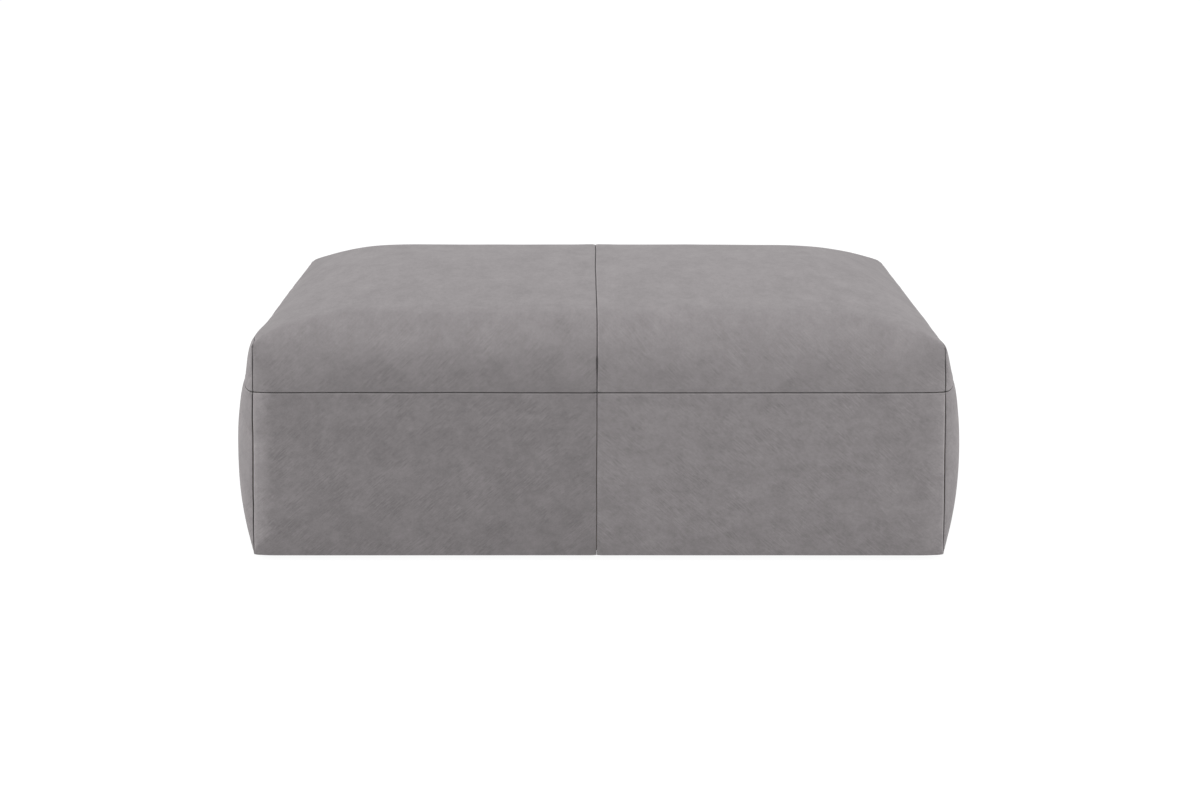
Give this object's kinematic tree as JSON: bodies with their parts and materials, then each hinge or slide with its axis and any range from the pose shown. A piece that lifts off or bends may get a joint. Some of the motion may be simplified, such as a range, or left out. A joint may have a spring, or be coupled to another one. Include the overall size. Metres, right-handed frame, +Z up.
{
  "type": "footstool",
  "caption": "Low rectangular upholstered footstool with a padded waterfall top, swollen sides, sewn seams and hidden glides.",
  "frame": {"origin": "under the middle of the footstool, on the floor that the glides stand on", "axes": "+X to the right along the long side, +Y to the back, +Z up"},
  "size_m": [1.215, 0.8, 0.401],
  "materials": {
    "cover_cloth": "short-pile velvet, soft sheen",
    "frame_wood": "sawn, unfinished",
    "steel": "zinc plated",
    "webbing_cloth": "woven elastic strap",
    "felt": "needled felt",
    "foam": "open-cell cushion foam",
    "wadding": "fluffy polyester wadding",
    "dust_cloth": "thin bonded cloth",
    "glide_plastic": "satin moulded"
  },
  "bodies": {
    "root": {"top_cover_left": "cover_cloth", "top_cover_right": "cover_cloth", "front_cover_left": "cover_cloth", "front_cover_right": "cover_cloth", "back_cover_left": "cover_cloth", "back_cover_right": "cover_cloth", "left_cover_upper": "cover_cloth", "left_cover_lower": "cover_cloth", "right_cover_upper": "cover_cloth", "right_cover_lower": "cover_cloth", "front_frame_board": "frame_wood", "back_frame_board": "frame_wood", "left_frame_board": "frame_wood", "right_frame_board": "frame_wood", "centre_cross_rail": "frame_wood", "corner_block_front_left": "frame_wood", "corner_block_front_right": "frame_wood", "corner_block_back_left": "frame_wood", "corner_block_back_right": "frame_wood", "frame_screws": "steel", "cross_webbing": "webbing_cloth", "long_webbing": "webbing_cloth", "webbing_staples": "steel", "seat_felt": "felt", "seat_foam_core": "foam", "seat_foam_cap": "foam", "seat_wadding": "wadding", "left_foam_pad": "foam", "right_foam_pad": "foam", "front_foam_pad": "foam", "back_foam_pad": "foam", "dust_cover": "dust_cloth", "underside_staples": "steel", "glides": "glide_plastic", "glide_screws": "steel"}
  },
  "joints": []
}
